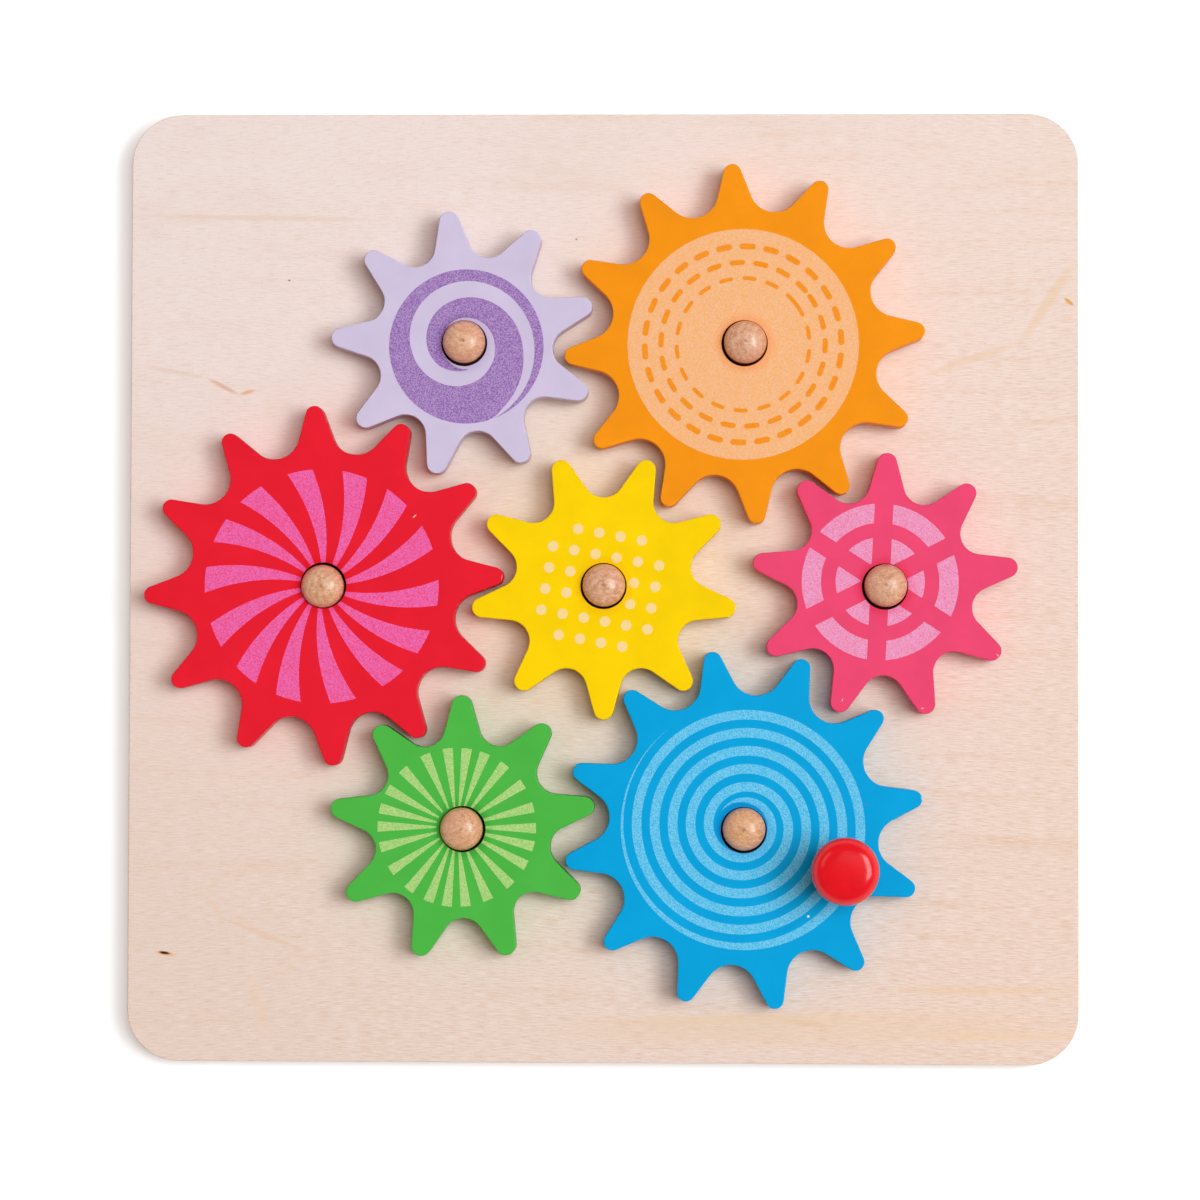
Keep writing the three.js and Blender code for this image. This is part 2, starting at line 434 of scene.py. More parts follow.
# Birch plywood board
boardPlan = {
    "corner": 16, "ease": 0.35, "cornerSteps": 24, "easeSteps": 4, "holeRadius": 4.05, "holeSides": 48,
    "cool": (242, 226, 221), "warm": (239, 212, 196), "tan": (234, 211, 197), "streak": (228, 188, 156),
    "warmMiddleShade": (222, 203, 178), "sheen": (250, 238, 230),
    "mottle": 13.0, "sway": 60.0, "figure": 3.6, "fibre": 0.36, "fleck": 0.5, "endGrain": 0.35,
    "plies": 7, "plyPale": (231, 203, 172), "plyDark": (184, 142, 104), "glue": (96, 62, 40),
    "veneer": 0.9, "specular": 0.25, "roughnessDrift": (0.52, 0.66),
}
boardLow, boardHigh = nodeBox("backboard")

# Small marks in the veneer, each with x, y, length, width, turn in degrees, colour and strength
boardMarks = [
    # a pin knot in its pale ring
    (-137.9, -116.2, 7.6, 1.8, -8, (240, 178, 128), 0.8),
    (-138.3, -116.0, 4.4, 1.15, -8, (62, 30, 20), 1.0),
    # a bent streak at the left
    (-120.6, 63.4, 13.0, 1.8, -28, (218, 164, 128), 0.6),
    (-113.0, 61.6, 6.0, 1.6, 16, (232, 168, 100), 0.7),
    (-136.8, 68.2, 24.0, 1.8, -11, (230, 196, 172), 0.4),
    # two pin-pricks, and an amber fleck at the right edge
    (-99.8, 97.2, 0.9, 0.7, 0, (120, 86, 84), 0.9),
    (-8.6, 110.3, 1.0, 0.8, 0, (176, 126, 96), 0.8),
    (147.0, 90.4, 4.6, 1.5, -38, (226, 160, 60), 0.9),
    # faint lines in the grain, two of them slanting
    (-107.0, 117.1, 92.0, 2.0, -1, (228, 196, 168), 0.36),
    (140.6, 90.5, 34.0, 4.0, 57, (236, 202, 166), 0.5),
    (116.7, 72.4, 40.0, 3.0, 19, (236, 200, 166), 0.45),
    (117.9, -126.6, 76.0, 3.6, 0, (238, 198, 148), 0.35),
    (64.0, -138.5, 180.0, 14.0, 1, (238, 203, 166), 0.35),
    (64.6, -137.3, 18.0, 2.4, -6, (232, 190, 146), 0.45),
    # a curl in the figure at the lower left
    (-122.9, -94.4, 11.0, 2.6, 45, (236, 204, 176), 0.35),
    (-122.8, -101.3, 12.0, 2.6, -50, (236, 204, 176), 0.4),
    (-112.1, -90.2, 17.0, 2.4, 5, (236, 204, 176), 0.35),
    (-98.9, -120.5, 18.0, 2.4, 33, (238, 205, 178), 0.35),
    # a thin amber line, then faint bands towards the lower edge
    (142.4, -129.2, 5.0, 0.6, -5, (230, 192, 110), 0.6),
    (126.0, -141.0, 70.0, 4.0, 1, (243, 205, 166), 0.4),
    (-106.0, -110.4, 34.0, 2.0, -21, (234, 198, 168), 0.5),
    (-108.0, -132.6, 24.0, 5.0, -75, (241, 208, 176), 0.35),
    (46.0, -136.0, 96.0, 3.4, 1, (240, 204, 160), 0.35),
]


def plywoodMaterial():
    plan = boardPlan
    material, tree, shader = startMaterial("birchPlywood", plan)
    point = localPoint(tree)
    x, y, z = parts(point)
    # paler and cooler at the upper left, warmer and more figured at the lower right
    across = remap(x - y, -260.0, 260.0)
    face = mixed(tree, across, shade(plan["cool"]), shade(plan["warm"]))
    face = tinted(face, remap(x + y, -60.0, -240.0, 0.0, 0.8), plan["tan"])
    mottle = noise(mapped(point, (0.35, 1.0, 1.0)), plan["mottle"], 3.0, 0.55)
    face = tinted(face, remap(mottle, 0.5, 0.75, 0.0, 0.4), plan["tan"])
    # the figure wanders, and short fibres run along it
    sway = noise(mapped(point, (0.5, 1.0, 1.0)), plan["sway"], 1.0)
    bent = combine(tree, x, y + sway * 16.0, z)
    figure = noise(mapped(bent, (0.06, 1.0, 1.0)), plan["figure"], 4.0, 0.6)
    # painted shade and bounce light: the middle of the board, among the cogs, is warmer and darker
    face = tinted(face, remap(length(point), 125.0, 30.0, 0.0, 0.5), plan["warmMiddleShade"])
    figured = remap(figure, 0.52, 0.78, 0.0, 0.5) * remap(across, 0.2, 0.8, 0.35, 1.0)
    face = tinted(face, figured, plan["streak"])
    fibres = noise(mapped(bent, (0.08, 1.0, 1.0)), plan["fibre"], 2.0, 0.6)
    clear = remap(across, 0.3, 0.75, 0.55, 1.0)
    face = tinted(face, remap(fibres, 0.5, 0.72, 0.0, 0.6) * clear, plan["streak"], 0.9)
    face = tinted(face, remap(fibres, 0.5, 0.28, 0.0, 0.5) * clear, plan["sheen"])
    flecks = noise(mapped(point, (0.5, 1.0, 1.0)), plan["fleck"], 1.0)
    face = tinted(face, remap(flecks, 0.6, 0.75, 0.0, 0.3), plan["streak"], 0.9)
    face = marked(point, face, boardHigh.z, boardMarks)
    # on the edges the layers under the outer veneers show, with thin glue lines between them
    layer = z * (plan["plies"] / (boardHigh.z - boardLow.z))
    outer = abs(layer - plan["plies"] / 2) > plan["plies"] / 2 - plan["veneer"]
    plies = mixed(tree, (layer % 2.0) > 1.0, shade(plan["plyPale"]), shade(plan["plyDark"]))
    endGrain = noise(mapped(point, (1.0, 1.0, 0.35)), plan["endGrain"], 3.0, 0.7)
    plies = tinted(plies, remap(endGrain, 0.45, 0.8, 0.0, 0.5), plan["plyDark"], 0.8)
    plies = tinted(plies, remap(abs(layer - rounded(layer)), 0.03, 0.09, 0.7, 0.0), plan["glue"])
    dress(shader, mixed(tree, outer, plies, face), remap(fibres, 0.2, 0.8, *plan["roughnessDrift"]))
    bumped(shader, fibres, 0.05, 0.5)
    return material


def roundedSquare(side, corner, steps):
    middle = side / 2 - corner
    bend = [Vector(point) for point in arc((middle, middle), (corner, corner), 0, 90, steps)]
    turns = [Matrix.Rotation(quarter * math.pi / 2, 2) for quarter in range(4)]
    return [turn @ point for turn in turns for point in bend]


def makeBoard():
    plan = boardPlan
    ease = plan["ease"]
    side = boardHigh.x - boardLow.x
    thickness = boardHigh.z - boardLow.z
    lower = arc((ease, ease), (ease, ease), 270, 180, plan["easeSteps"])
    upper = arc((ease, thickness - ease), (ease, ease), 180, 90, plan["easeSteps"])
    shape = bmesh.new()
    rings = []
    for inset, height in lower + upper:
        outline = roundedSquare(side - 2 * inset, plan["corner"] - inset, plan["cornerSteps"])
        rings.append([shape.verts.new((point.x, point.y, height)) for point in outline])
    for below, above in zip(rings, rings[1:]):
        for here in range(len(below)):
            after = (here + 1) % len(below)
            shape.faces.new((below[here], below[after], above[after], above[here]))
    shape.faces.new(reversed(rings[0]))
    shape.faces.new(rings[-1])
    mesh = toMesh(shape, plywoodMaterial())
    wall = [(plan["holeRadius"], -overrun), (plan["holeRadius"], thickness + overrun)]
    holes = [drill(wall, plan["holeSides"], axles[cog]) for cog in cogs]
    mesh = booleanCut(mesh, joinMeshes(holes))
    addPiece("board", smoothed(mesh), "board", "plywood", "backboard")
    print("board cut, eased and bored")


# Cogs, each with its number of teeth, the angle of its first tooth at rest, and its paint
cogs = {
    "blue_cog": {"teeth": 12, "toothAngle": 10.5, "paint": (0, 164, 223)},
    "red_cog": {"teeth": 12, "toothAngle": 3.26, "paint": (235, 29, 48)},
    "orange_cog": {"teeth": 12, "toothAngle": 4.15, "paint": (248, 149, 18)},
    "lilac_cog": {"teeth": 9, "toothAngle": 17.3, "paint": (211, 198, 225)},
    "yellow_cog": {"teeth": 9, "toothAngle": 30.1, "paint": (254, 212, 0)},
    "pink_cog": {"teeth": 9, "toothAngle": 9.0, "paint": (239, 73, 115)},
    "green_cog": {"teeth": 9, "toothAngle": 10.66, "paint": (78, 185, 71)},
}

cogPlan = {
    "centreDistance": 88, "ease": 0.3,
    "toothShares": {12: {"addendum": 0.753, "dedendum": 0.965, "tip": 0.334, "valley": 0.955},
                    9: {"addendum": 0.499, "dedendum": 1.177, "tip": 0.37, "valley": 0.776}},
    "tipSteps": 12, "valleySteps": 20, "easeSteps": 3,
    "boreRadius": 4.4, "recessRadius": 7.18, "recessFloor": 4, "rimEase": 0.1, "rimSteps": 4,
    "holeSides": 64,
    "screwHoleRadius": 2.65, "screwRecessRadius": 4.9, "screwRecessDepth": 3.7,
    "specular": 0.12, "roughnessDrift": (0.34, 0.44), "drift": 14.0, "fine": 0.5, "pores": 0.9,
    "primerShare": 0.65, "shadedBareWood": (70, 40, 26), "axleShade": 0.4, "axleShadeReach": 3.2, "markLevel": 20.0,
}
faceStart = cogPlan["recessRadius"] + cogPlan["rimEase"]  # how far from its axle a cog's face starts

# Nicks and pin-pricks in the paint, as in the veneer, but counted from each cog's axle
paintMarks = {
    "blue_cog": [
        (20.2, -26.8, 0.95, 0.9, 0, (250, 255, 255), 1.0),
        (38.3, 8.1, 1.0, 0.7, 40, (96, 120, 140), 0.8),
        (55.6, 9.9, 1.6, 0.4, -60, (225, 240, 250), 0.6),
        (37.2, -42.6, 1.6, 0.35, 60, (225, 240, 250), 0.5),
    ],
    "red_cog": [
        (28.6, 21.8, 1.8, 0.5, 42, (246, 196, 158), 1.0),
        (50.9, -1.1, 0.8, 0.4, 15, (250, 220, 200), 0.9),
        (56.1, 2.7, 2.0, 0.35, 80, (250, 170, 150), 0.6),
    ],
    "pink_cog": [
        (-13.3, -35.5, 1.2, 0.4, 70, (250, 214, 222), 0.7),
        (11.7, -38.0, 1.2, 0.4, 10, (250, 214, 222), 0.7),
        (35.2, -21.4, 1.3, 0.4, -50, (250, 214, 222), 0.7),
    ],
}


def toothSizes(teeth):
    # the flank touches the tip's circle on one side and the valley's circle on the other
    shares = cogPlan["toothShares"][teeth]
    module = 2 * cogPlan["centreDistance"] / sum(cogPlan["toothShares"])
    pitchRadius = module * teeth / 2
    tipArc = module * shares["tip"]
    valleyArc = module * shares["valley"]
    tipMiddle = pitchRadius + module * shares["addendum"] - tipArc
    valleyMiddle = pitchRadius - module * shares["dedendum"] + valleyArc
    halfPitch = math.pi / teeth
    across = valleyMiddle * math.sin(halfPitch)
    along = valleyMiddle * math.cos(halfPitch) - tipMiddle
    flank = math.atan2(across, along) - math.acos((tipArc + valleyArc) / math.hypot(along, across))
    return {"teeth": teeth, "tipMiddle": tipMiddle, "tipArc": tipArc, "valleyMiddle": valleyMiddle,
            "valleyArc": valleyArc, "flankAngle": math.degrees(flank)}


def onOutline(mesh, count, given, inset, height):
    # sets a mesh's points on the toothed outline by their count round the cog
    tipSteps = cogPlan["tipSteps"]
    valleySteps = cogPlan["valleySteps"]
    perTooth = tipSteps + valleySteps + 2
    tooth = floor((count + 0.5) / perTooth)
    step = count - tooth * perTooth
    onValley = step > tipSteps + 0.5
    halfPitch = math.pi / given["teeth"]
    flank = radians(given["flankAngle"])
    tipSwing = flank * (step * (2 / tipSteps) - 1)
    valleySwing = flank + math.pi + (step - (tipSteps + 1)) * (2 / valleySteps) * (halfPitch - flank)
    turn = tooth * 2 * halfPitch + radians(given["toothAngle"])
    reach = choose(onValley, given["valleyMiddle"], given["tipMiddle"])
    lead = turn + choose(onValley, halfPitch, 0.0)
    radius = choose(onValley, given["valleyArc"] + inset, given["tipArc"] - inset)
    swing = turn + choose(onValley, valleySwing, tipSwing)
    x = reach * cosine(lead) + radius * cosine(swing)
    y = reach * sine(lead) + radius * sine(swing)
    return placed(mesh, x, y, height)


def cogTree():
    # the toothed wall is a grid wrapped round the outline, and two filled outlines close it
    tree, given = startTree("cogWheel", ["teeth"], [
        "tipMiddle", "tipArc", "valleyMiddle", "valleyArc", "flankAngle", "toothAngle", "thickness", "ease",
    ])
    easeSteps = cogPlan["easeSteps"]
    ease = given["ease"]
    around = given["teeth"] * (cogPlan["tipSteps"] + cogPlan["valleySteps"] + 2)
    grid, column, row = gridField(tree, around + 1, 2 * easeSteps + 2)
    above = row > easeSteps + 0.5
    angle = (row - above * (easeSteps + 1)) * (math.pi / 2 / easeSteps)
    inset = ease * choose(above, 1 - cosine(angle), 1 - sine(angle))
    height = choose(above, given["thickness"] - ease * (1 - sine(angle)), ease * (1 - cosine(angle)))
    wall = onOutline(grid, column % around, given, inset, height)
    disc = term(tree, "GeometryNodeMeshCircle", {"Vertices": around}, fill_type="NGON")
    top = onOutline(disc, pointIndex(tree), given, ease, given["thickness"])
    base = onOutline(disc, pointIndex(tree), given, ease, 0.0)
    return endTree(tree, given, joined(wall, top, base))


def axleShaded(point, colour, tone):
    # painted shade: the colour is deeper close round the axle, where the peg head shades the face
    end = faceStart + cogPlan["axleShadeReach"]
    axleShade = remap(fromAxis(point), faceStart, end, cogPlan["axleShade"], 0.0, smooth=True)
    return mixed(point.tree, axleShade, colour, shade(tone), "MULTIPLY")


def drifted(tree, noisy, tone, low, high):
    # one colour that drifts between two strengths
    return mixed(tree, remap(noisy, 0.3, 0.7), shade(tone, low), shade(tone, high))


def paintMaterial(cog):
    plan = cogPlan
    colour = cogs[cog]["paint"]
    material, tree, shader = startMaterial(cog.replace("_cog", "Paint"), plan)
    point = localPoint(tree, axles[cog])
    # brushed on, so the colour and the gloss drift a little from place to place
    drift = noise(point, plan["drift"], 3.0, 0.55)
    fine = noise(point, plan["fine"], 2.0, 0.6)
    body = drifted(tree, drift, colour, 0.95, 1.04)
    body = tinted(body, remap(fine, 0.5, 0.8, 0.0, 0.14), colour, 0.8)
    # small chips along the upper arris show the primer
    z = parts(point)[2]
    arris = remap(z, cogTop - 0.05, cogTop - 0.15) * remap(z, cogTop - 1.2, cogTop - 0.6)
    chips = remap(noise(point, 1.3, 3.0, 0.65), 0.6, 0.68) * remap(noise(point, 9.0, 1.0), 0.45, 0.6)
    primer = tuple(value + (255 - value) * plan["primerShare"] for value in colour)
    body = tinted(body, arris * chips * 0.8, primer)
    # painted shade round the axle, then the nicks and pin-pricks
    body = marked(point, axleShaded(point, body, colour), plan["markLevel"], paintMarks.get(cog, []))
    # the bore was drilled after painting, so its wall is bare wood, painted near black as the shade deep in
    # the recess
    reach = fromAxis(point) + fine * 0.2
    body = tinted(body, remap(reach, faceStart, faceStart + 0.12, 1.0, 0.0), plan["shadedBareWood"])
    pores = noise(mapped(point, (0.12, 1.0, 1.0)), plan["pores"], 3.0, 0.6)
    dress(shader, body, remap(drift, 0.3, 0.7, *plan["roughnessDrift"]))
    bumped(shader, pores * 0.6 + fine * 0.4, 0.03, 0.6)
    return material


def axleCutter(cog):
    plan = cogPlan
    bore = plan["boreRadius"]
    recess = plan["recessRadius"]
    ease = plan["rimEase"]
    seat = cogBottom + plan["recessFloor"]
    rim = arc((faceStart, cogTop - ease), (ease, ease), 180, 90, plan["rimSteps"])
    wall = [(bore, cogBottom - overrun), (bore, seat), (recess, seat), *rim, (faceStart, cogTop + overrun)]
    return drill(wall, plan["holeSides"], axles[cog])


def crankCutter():
    plan = cogPlan
    hole = plan["screwHoleRadius"]
    recess = plan["screwRecessRadius"]
    seat = cogBottom + plan["screwRecessDepth"]
    wall = [(recess, cogBottom - overrun), (recess, seat), (hole, seat), (hole, cogTop + overrun)]
    return drill(wall, plan["holeSides"], axles["crank_knob"])


def makeCogs():
    plan = cogPlan
    tree = cogTree()
    for cog, own in cogs.items():
        sizes = toothSizes(own["teeth"])
        sizes.update(toothAngle=own["toothAngle"], thickness=cogTop - cogBottom, ease=plan["ease"])
        mesh = runTree(tree, paintMaterial(cog), sizes)
        mesh = moved(mesh, axles[cog].x, axles[cog].y, cogBottom)
        mesh = booleanCut(smoothed(mesh), axleCutter(cog))
        if cog == "blue_cog":
            mesh = booleanCut(mesh, crankCutter())
        colour = cog.replace("_cog", "")
        addPiece(colour + "Cog", smoothed(mesh), cog, colour + "_paint", cog)
    print("cogs made:", len(cogs))


# Prints: thin plates of ink on the cogs, with angles in degrees and places from each cog's axle
inkPlan = {
    "thickness": 0.05, "sunk": 0.02, "holeSpare": 0.03, "roughness": 0.4, "specular": 0.12,
    "grain": 0.34, "drift": 9.0,
}

dotPrint = {
    "ink": (249, 218, 152), "speckle": 0.14, "rows": 6, "dotSides": 28, "pitch": 6.76, "dotRadius": 1.64,
    "turn": -10.3, "middle": (-1.08, -0.54),
}
sunPrint = {
    "ink": (240, 96, 160), "speckle": 0.3, "rays": 14, "inner": 6.4, "outer": 36.8,
    "innerWidth": 1.1, "outerWidth": 8.1, "lean": 15.1, "start": 8.6, "squareShare": 0.1,
    "squareTurn": 84, "middle": (-0.54, -0.25),
}
burstPrint = {
    "ink": (169, 213, 126), "speckle": 0.3, "rays": 22, "inner": 6.4, "outer": 24.85,
    "innerWidth": 0.56, "outerWidth": 3.3, "lean": 0.0, "start": 1.3, "squareShare": 0.2,
    "squareTurn": 37, "middle": (-1.78, 0.56),
}
brokenRings = {
    "ink": (238, 148, 188), "speckle": 0.3, "sectors": 6, "gap": 5.85, "turn": 27.1,
    "runs": [{"inner": 18.47, "outer": 24.5}, {"inner": 6.26, "outer": 13.93}], "middle": (-1.5, 1.44),
}
discPrint = {
    "ink": (247, 185, 129), "speckle": 0.24, "sectors": 1, "gap": 0, "turn": 0,
    "inner": 1, "outer": 36.3, "middle": (-0.47, -0.31),
}
dashPrint = {
    "under": discPrint["ink"], "ink": (246, 146, 12), "speckle": 0.24, "middle": discPrint["middle"],
    "rise": 0.04,
    "runs": [
        {"radius": 30.8, "width": 1.85, "count": 26, "pitch": 13.85, "dash": 9.4, "start": 4.25},
        {"radius": 25.73, "width": 1.62, "count": 22, "pitch": 16.557, "dash": 10.75, "start": 44.4},
        {"radius": 20.8, "width": 1.25, "count": 16, "pitch": 20.4, "dash": 12.2, "start": 64.1},
        {"radius": 20.8, "width": 1.25, "count": 1, "pitch": 0.0, "dash": 24.7, "start": 37.15},
    ],
}
coilPrint = {
    "ink": (94, 196, 236), "speckle": 0.38, "turns": 6.05, "pitch": 5.63, "band": 3.0, "outerRadius": 38.5,
    "startTurn": -0.648, "startRadius": 36.35, "middle": (0.06, 1.11), "steps": 640,
    "lateTurn": 4.75, "lateSlack": 1.7, "innerRadius": 7.3, "tailTurn": 5.2, "tailRise": 6.0,
}
swirlPrint = {
    "ink": (160, 121, 185), "speckle": 0.42, "middle": (0.67, -1.0), "radius": 24.28,
    "start": 291, "sweep": 704, "steps": 280,
    # share of the way round, then the outer and inner radius as shares of the print's radius
    "outerShares": [(0, 1), (0.5, 1), (0.524, 0.932), (0.567, 0.815), (0.609, 0.732), (0.666, 0.679),
                    (0.78, 0.607), (0.851, 0.526), (0.908, 0.442), (0.964, 0.343), (1, 0.3)],
    "innerShares": [(0, 1), (0.055, 0.921), (0.105, 0.878), (0.254, 0.837), (0.297, 0.804), (0.368, 0.697),
                    (0.453, 0.544), (0.51, 0.46), (0.567, 0.396), (0.624, 0.367), (0.751, 0.374),
                    (0.79, 0.36), (0.84, 0.31), (1, 0.295)],
}


def inkMaterial(name, cog, plan):
    # printed thinly, so the paint below shows through as a fine speckle
    material, tree, shader = startMaterial(name, inkPlan)
    point = localPoint(tree, axles[cog])
    drift = noise(point, inkPlan["drift"], 3.0, 0.6)
    speckle = noise(point, inkPlan["grain"], 1.0)
    colour = plan["ink"]
    under = plan.get("under", cogs[cog]["paint"])
    thin, thick = (
        [min(255, max(0, tone + (paint - tone) * step)) for tone, paint in zip(colour, under)]
        for step in (plan["speckle"], -plan["speckle"]))
    ink = mixed(tree, remap(speckle, 0.36, 0.64), shade(thick), shade(thin))
    ink = tinted(ink, remap(drift, 0.3, 0.7, 0.0, 0.06), under)
    # painted shade round the axle
    dress(shader, axleShaded(point, ink, colour))
    bumped(shader, speckle, 0.02, 0.5)
    return material


def plateTree(name, counts, sizes, build):
    # build gives a flat plate and, where it repeats, how many there are and how each is turned
    tree, given = startTree(name, counts, ["plateThickness", *sizes])
    flat, count, angle = build(tree, given)
    plate = thickened(flat, given["plateThickness"])
    if count is not None:
        plate = repeated(plate, count, angle)
    return endTree(tree, given, plate)


def rayTree():
    def build(tree, given):
        along, across = 24, 8
        grid, column, row = gridField(tree, along + 1, across + 1)
        outward = column / along
        sideways = row / across - 0.5
        radius = given["inner"] + (given["outer"] - given["inner"]) * outward
        width = given["innerWidth"] + (given["outerWidth"] - given["innerWidth"]) * outward
        flat = wound(grid, radius, radians(given["lean"]) * outward + sideways * width / radius)
        even = pointIndex(tree) * (2 * math.pi) / given["rays"] + radians(given["start"])
        # the rays stand a little closer together four times round, as if drawn for a square
        wave = sine((even - radians(given["squareTurn"])) * 4)
        return flat, given["rays"], even + wave * given["squareShare"] / 4
    return plateTree("inkRays", ["rays"], [
        "inner", "outer", "innerWidth", "outerWidth", "lean", "start", "squareShare", "squareTurn",
    ], build)


def sectorTree():
    def build(tree, given):
        along, across = 48, 6
        grid, column, row = gridField(tree, along + 1, across + 1)
        radius = given["inner"] + (given["outer"] - given["inner"]) * row / across
        # a gap between sectors is a straight bar, so its half angle grows towards the middle
        spare = arcsine(given["gap"] * 0.5 / radius)
        pitch = 2 * math.pi / given["sectors"]
        flat = wound(grid, radius, spare + (pitch - spare * 2) * column / along)
        return flat, given["sectors"], pointIndex(tree) * pitch + radians(given["turn"])
    return plateTree("inkSectors", ["sectors"], ["inner", "outer", "gap", "turn"], build)


def dashTree():
    def build(tree, given):
        along, across = 28, 4
        grid, column, row = gridField(tree, along + 1, across + 1)
        halfWidth = given["width"] * 0.5
        halfLength = radians(given["dash"]) * given["radius"] * 0.5
        # points crowd towards the round ends, where the half width follows a circle
        place = sine((column / along - 0.5) * math.pi) * halfLength
        past = greatest(abs(place) - (halfLength - halfWidth), 0.0)
        ratio = least(past / halfWidth, 0.995)
        side = (row / across * 2 - 1) * root(1 - ratio * ratio)
        flat = wound(grid, given["radius"] + side * halfWidth, place / given["radius"])
        turn = pointIndex(tree) * radians(given["pitch"]) + radians(given["start"])
        return flat, given["count"], turn
    return plateTree("inkDashes", ["count"], ["radius", "width", "dash", "pitch", "start"], build)


def dotTree():
    tree, given = startTree("inkDots", ["rows", "dotSides"], [
        "plateThickness", "pitch", "dotRadius", "turn",
    ])
    last = given["rows"] - 1
    points, column, row = gridField(tree, given["rows"], given["rows"])
    reach = abs(column - last * 0.5) + abs(row - last * 0.5)
    # the four corners and the four dots round the axle are missing
    gone = greatest(reach > last - 0.5, reach < 1.5)
    kept = term(tree, "GeometryNodeDeleteGeometry", {"Geometry": points, "Selection": gone}, domain="POINT")
    spread = term(tree, "GeometryNodeTransform", {
        "Geometry": kept, "Rotation": combine(tree, z=radians(given["turn"])),
        "Scale": combine(tree, given["pitch"], given["pitch"], 1.0),
    })
    circle = {"Vertices": given["dotSides"], "Radius": given["dotRadius"]}
    dot = term(tree, "GeometryNodeMeshCircle", circle, fill_type="NGON")
    plate = thickened(dot, given["plateThickness"])
    dots = term(tree, "GeometryNodeInstanceOnPoints", {"Points": spread, "Instance": plate})
    return endTree(tree, given, dots)


def coilTree():
    def build(tree, given):
        steps = coilPrint["steps"]
        grid, column, row = gridField(tree, steps + 1, 2)
        turn = given["startTurn"] + given["turns"] * column / steps
        slack = greatest(turn - given["lateTurn"], 0.0) * given["lateSlack"]
        line = given["startRadius"] - turn * given["pitch"] + slack
        # the first and the last turn are trimmed to circles, which leaves each a thin tail
        outside = least(line + (row - 0.5) * given["band"], given["outerRadius"])
        inside = greatest(turn - given["tailTurn"], 0.0) * given["tailRise"] + given["innerRadius"]
        return wound(grid, greatest(outside, inside), turn * (2 * math.pi)), None, None
    return plateTree("inkCoil", [], [
        "turns", "pitch", "band", "startTurn", "startRadius", "outerRadius",
        "lateTurn", "lateSlack", "innerRadius", "tailTurn", "tailRise",
    ], build)


def curved(value, shares):
    node = addNode(value.tree, "ShaderNodeFloatCurve", {"Value": value})
    points = node.mapping.curves[0].points
    while len(points) < len(shares):
        points.new(0.5, 0.5)
    for point, place in zip(points, shares):
        point.location = place
        point.handle_type = "AUTO_CLAMPED"
    node.mapping.update()
    return Term(value.tree, node.outputs[0])


def swirlTree():
    def build(tree, given):
        steps = swirlPrint["steps"]
        grid, column, row = gridField(tree, steps + 1, 2)
        along = column / steps
        outer = curved(along, swirlPrint["outerShares"])
        inner = curved(along, swirlPrint["innerShares"])
        radius = (inner + (outer - inner) * row) * given["radius"]
        return wound(grid, radius, radians(along * given["sweep"] + given["start"])), None, None
    return plateTree("inkSwirl", [], ["radius", "start", "sweep"], build)


def printOn(name, cog, tree, plan):
    # the plates go on the cog's face, open round the bore
    finish = inkMaterial(name + "Ink", cog, plan)
    plate = {"plateThickness": inkPlan["thickness"] + inkPlan["sunk"]}
    meshes = [runTree(tree, finish, {**plate, **plan, **run}) for run in plan.get("runs", [{}])]
    x, y = (axle + shift for axle, shift in zip(axles[cog].xy, plan["middle"]))
    mesh = moved(joinMeshes(meshes), x, y, cogTop + plan.get("rise", 0.0) - inkPlan["sunk"])
    radius = faceStart + inkPlan["holeSpare"]
    wall = [(radius, cogTop - overrun), (radius, cogTop + overrun)]
    mesh = booleanCut(smoothed(mesh), drill(wall, cogPlan["holeSides"], axles[cog]))
    addPiece(name, smoothed(mesh), cog, cog.replace("_cog", "_paint"))


def makePrints():
    rays = rayTree()
    printOn("redSun", "red_cog", rays, sunPrint)
    printOn("greenBurst", "green_cog", rays, burstPrint)
    sectors = sectorTree()
    printOn("pinkRings", "pink_cog", sectors, brokenRings)
    printOn("orangeDisc", "orange_cog", sectors, discPrint)
    printOn("orangeDashes", "orange_cog", dashTree(), dashPrint)
    printOn("yellowDots", "yellow_cog", dotTree(), dotPrint)
    printOn("blueCoil", "blue_cog", coilTree(), coilPrint)
    printOn("lilacSwirl", "lilac_cog", swirlTree(), swirlPrint)
    print("prints laid on the cogs")


# Axle pegs, turned from beech dowel. Each head sits a little to one side in its recess.
pegPlan = {
    "shankRadius": 4, "headBottom": 15.1, "ease": 0.5, "domeShare": 0.44, "sides": 64, "domeSteps": 16,
    "pale": (240, 192, 157), "mid": (207, 144, 105), "rim": (210, 132, 86), "dark": (136, 78, 48),
    "yellow": (228, 172, 112), "pink": (222, 156, 136),
    "specular": 0.5, "coat": 0.65, "coatRoughness": 0.2, "roughnessDrift": (0.28, 0.42), "seed": 7,
    "headShift": {"blue": (0.12, 0.32), "red": (-0.2, -0.26), "orange": (0.22, 0.3), "lilac": (-0.05, 0.38),
                  "yellow": (0.12, 0.22), "pink": (0.25, 0.29), "green": (-0.28, 0.08)},
}


